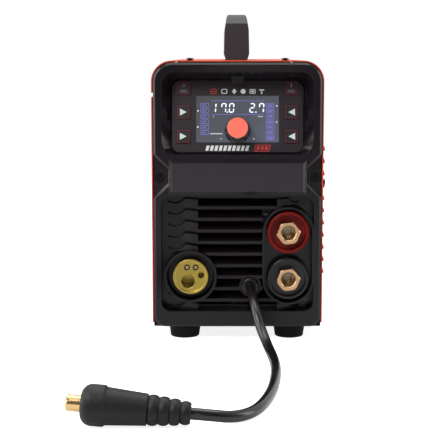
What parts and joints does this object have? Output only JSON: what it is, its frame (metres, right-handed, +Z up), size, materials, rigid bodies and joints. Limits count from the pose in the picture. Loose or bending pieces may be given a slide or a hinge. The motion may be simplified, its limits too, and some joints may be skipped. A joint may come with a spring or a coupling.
{
  "type": "mig welding machine",
  "caption": "Portable MIG welding machine: steel case with moulded bezels, sloping control panel, torch and lead sockets, wire feeder behind a side door, short polarity lead.",
  "frame": {"origin": "centre of the machine's outline on the floor, without the lead: feet on z = 0", "axes": "+Z up, front faces -Y, +X is the side with the lead sockets (the machine's left-hand compartment holds the wire feeder)"},
  "size_m": [0.2153, 0.6839, 0.3098],
  "materials": {
    "front_bezel": "semi-gloss moulding",
    "base_tray": "powder coat",
    "divider_plate": "plain",
    "rubber_feet": "matt",
    "cover": "powder coat",
    "side_door": "powder coat",
    "hinge_leaves": "plain",
    "door_latch": "fine texture",
    "rear_bezel": "semi-gloss moulding",
    "handle": "fine texture",
    "case_screws": "bright",
    "foot_and_handle_screws": "bright",
    "control_overlay": "fine texture",
    "display_lens": "semi-gloss moulding",
    "display_module": "semi-gloss moulding",
    "control_board": "fine texture",
    "key_switches": "fine texture",
    "encoder": "plain",
    "encoder_shaft": "plain",
    "knob_body": "fine texture",
    "knob_cap": "semi-gloss moulding",
    "euro_insulator": "fine texture",
    "euro_block": "machined",
    "euro_contacts": "machined",
    "positive_bush": "fine texture",
    "negative_bush": "fine texture",
    "panel_sockets": "machined",
    "socket_bolts": "plain",
    "cable_gland": "fine texture",
    "polarity_cable": "matt",
    "plug_sleeve": "matt",
    "plug_pin": "machined",
    "feeder_plate": "as cast",
    "wire_guides": "machined",
    "feed_motor": "powder coat",
    "drive_roll": "plain",
    "pressure_arm": "as cast",
    "pressure_roller": "plain",
    "tension_lever": "fine texture",
    "spool_hub": "fine texture",
    "hub_axle": "plain",
    "hub_nut": "fine texture",
    "power_board": "fine texture",
    "heat_sinks": "as extruded",
    "transformer": "powder coat",
    "capacitors": "semi-gloss moulding",
    "gas_valve": "machined",
    "gas_inlet": "machined",
    "fan_frame": "fine texture",
    "fan_rotor": "fine texture",
    "switch_frame": "fine texture",
    "power_rocker": "semi-gloss moulding",
    "mains_gland": "fine texture",
    "key_left_low": "fine texture",
    "key_left_middle": "fine texture",
    "key_left_top": "fine texture",
    "key_right_low": "fine texture",
    "key_right_middle": "fine texture",
    "key_right_top": "fine texture"
  },
  "bodies": {
    "machine": {"front_bezel": "front_bezel", "base_tray": "base_tray", "divider_plate": "divider_plate", "rubber_feet": "rubber_feet", "cover": "cover", "hinge_leaves": "hinge_leaves", "rear_bezel": "rear_bezel", "handle": "handle", "case_screws": "case_screws", "foot_and_handle_screws": "foot_and_handle_screws", "control_overlay": "control_overlay", "display_lens": "display_lens", "display_module": "display_module", "control_board": "control_board", "key_switches": "key_switches", "encoder": "encoder", "euro_insulator": "euro_insulator", "euro_block": "euro_block", "euro_contacts": "euro_contacts", "positive_bush": "positive_bush", "negative_bush": "negative_bush", "panel_sockets": "panel_sockets", "socket_bolts": "socket_bolts", "cable_gland": "cable_gland", "polarity_cable": "polarity_cable", "plug_sleeve": "plug_sleeve", "plug_pin": "plug_pin", "feeder_plate": "feeder_plate", "wire_guides": "wire_guides", "feed_motor": "feed_motor", "hub_axle": "hub_axle", "power_board": "power_board", "heat_sinks": "heat_sinks", "transformer": "transformer", "capacitors": "capacitors", "gas_valve": "gas_valve", "gas_inlet": "gas_inlet", "fan_frame": "fan_frame", "switch_frame": "switch_frame", "mains_gland": "mains_gland"},
    "door": {"side_door": "side_door"},
    "latch": {"door_latch": "door_latch"},
    "knob": {"knob_body": "knob_body", "knob_cap": "knob_cap", "encoder_shaft": "encoder_shaft"},
    "rocker": {"power_rocker": "power_rocker"},
    "fan": {"fan_rotor": "fan_rotor"},
    "feed_roll": {"drive_roll": "drive_roll"},
    "arm": {"pressure_arm": "pressure_arm"},
    "idle_roller": {"pressure_roller": "pressure_roller"},
    "lever": {"tension_lever": "tension_lever"},
    "hub": {"spool_hub": "spool_hub"},
    "nut": {"hub_nut": "hub_nut"},
    "button_left_low": {"key_left_low": "key_left_low"},
    "button_left_middle": {"key_left_middle": "key_left_middle"},
    "button_left_top": {"key_left_top": "key_left_top"},
    "button_right_low": {"key_right_low": "key_right_low"},
    "button_right_middle": {"key_right_middle": "key_right_middle"},
    "button_right_top": {"key_right_top": "key_right_top"}
  },
  "joints": [
    {"name": "door_hinge", "type": "hinge", "parent": "machine", "child": "door", "pos_m": [-0.083, 0.17433, 0.127], "axis": [0, 0, -1], "range_deg": [0, 110]},
    {"name": "latch_slide", "type": "slide", "parent": "door", "child": "latch", "axis": [0, -1, 0], "range_m": [0, 0.008]},
    {"name": "knob_turn", "type": "hinge", "parent": "machine", "child": "knob", "pos_m": [0, -0.18252, 0.19867], "axis": [0, -0.9703, 0.2419], "continuous": true},
    {"name": "rocker_tilt", "type": "hinge", "parent": "machine", "child": "rocker", "pos_m": [0.031, 0.17133, 0.217], "axis": [-1, 0, 0], "range_deg": [0, 20]},
    {"name": "fan_spin", "type": "hinge", "parent": "machine", "child": "fan", "pos_m": [0.031, 0.16233, 0.14], "axis": [0, 1, 0], "continuous": true},
    {"name": "drive_roll_spin", "type": "hinge", "parent": "machine", "child": "feed_roll", "pos_m": [-0.0444, -0.09267, 0.0454], "axis": [1, 0, 0], "continuous": true},
    {"name": "arm_lift", "type": "hinge", "parent": "machine", "child": "arm", "pos_m": [-0.0339, -0.06667, 0.0829], "axis": [-1, 0, 0], "range_deg": [0, 45]},
    {"name": "idle_roller_spin", "type": "hinge", "parent": "arm", "child": "idle_roller", "pos_m": [-0.0444, -0.09267, 0.0724], "axis": [1, 0, 0], "continuous": true},
    {"name": "lever_swing", "type": "hinge", "parent": "machine", "child": "lever", "pos_m": [-0.0339, -0.11667, 0.0759], "axis": [-1, 0, 0], "range_deg": [0, 55]},
    {"name": "hub_spin", "type": "hinge", "parent": "machine", "child": "hub", "pos_m": [-0.037, 0.05233, 0.14], "axis": [1, 0, 0], "continuous": true},
    {"name": "nut_turn", "type": "hinge", "parent": "machine", "child": "nut", "pos_m": [-0.0668, 0.05233, 0.14], "axis": [1, 0, 0], "continuous": true},
    {"name": "press_left_low", "type": "slide", "parent": "machine", "child": "button_left_low", "axis": [0, 0.9703, -0.2419], "range_m": [0, 0.0005], "stiffness_N_per_m": 800, "springref_m": -0.001},
    {"name": "press_left_middle", "type": "slide", "parent": "machine", "child": "button_left_middle", "axis": [0, 0.9703, -0.2419], "range_m": [0, 0.0005], "stiffness_N_per_m": 800, "springref_m": -0.001},
    {"name": "press_left_top", "type": "slide", "parent": "machine", "child": "button_left_top", "axis": [0, 0.9703, -0.2419], "range_m": [0, 0.0005], "stiffness_N_per_m": 800, "springref_m": -0.001},
    {"name": "press_right_low", "type": "slide", "parent": "machine", "child": "button_right_low", "axis": [0, 0.9703, -0.2419], "range_m": [0, 0.0005], "stiffness_N_per_m": 800, "springref_m": -0.001},
    {"name": "press_right_middle", "type": "slide", "parent": "machine", "child": "button_right_middle", "axis": [0, 0.9703, -0.2419], "range_m": [0, 0.0005], "stiffness_N_per_m": 800, "springref_m": -0.001},
    {"name": "press_right_top", "type": "slide", "parent": "machine", "child": "button_right_top", "axis": [0, 0.9703, -0.2419], "range_m": [0, 0.0005], "stiffness_N_per_m": 800, "springref_m": -0.001}
  ],
  "couplings": [
    {"joint": "idle_roller_spin", "follows": "drive_roll_spin", "ratio": -1.3636}
  ]
}
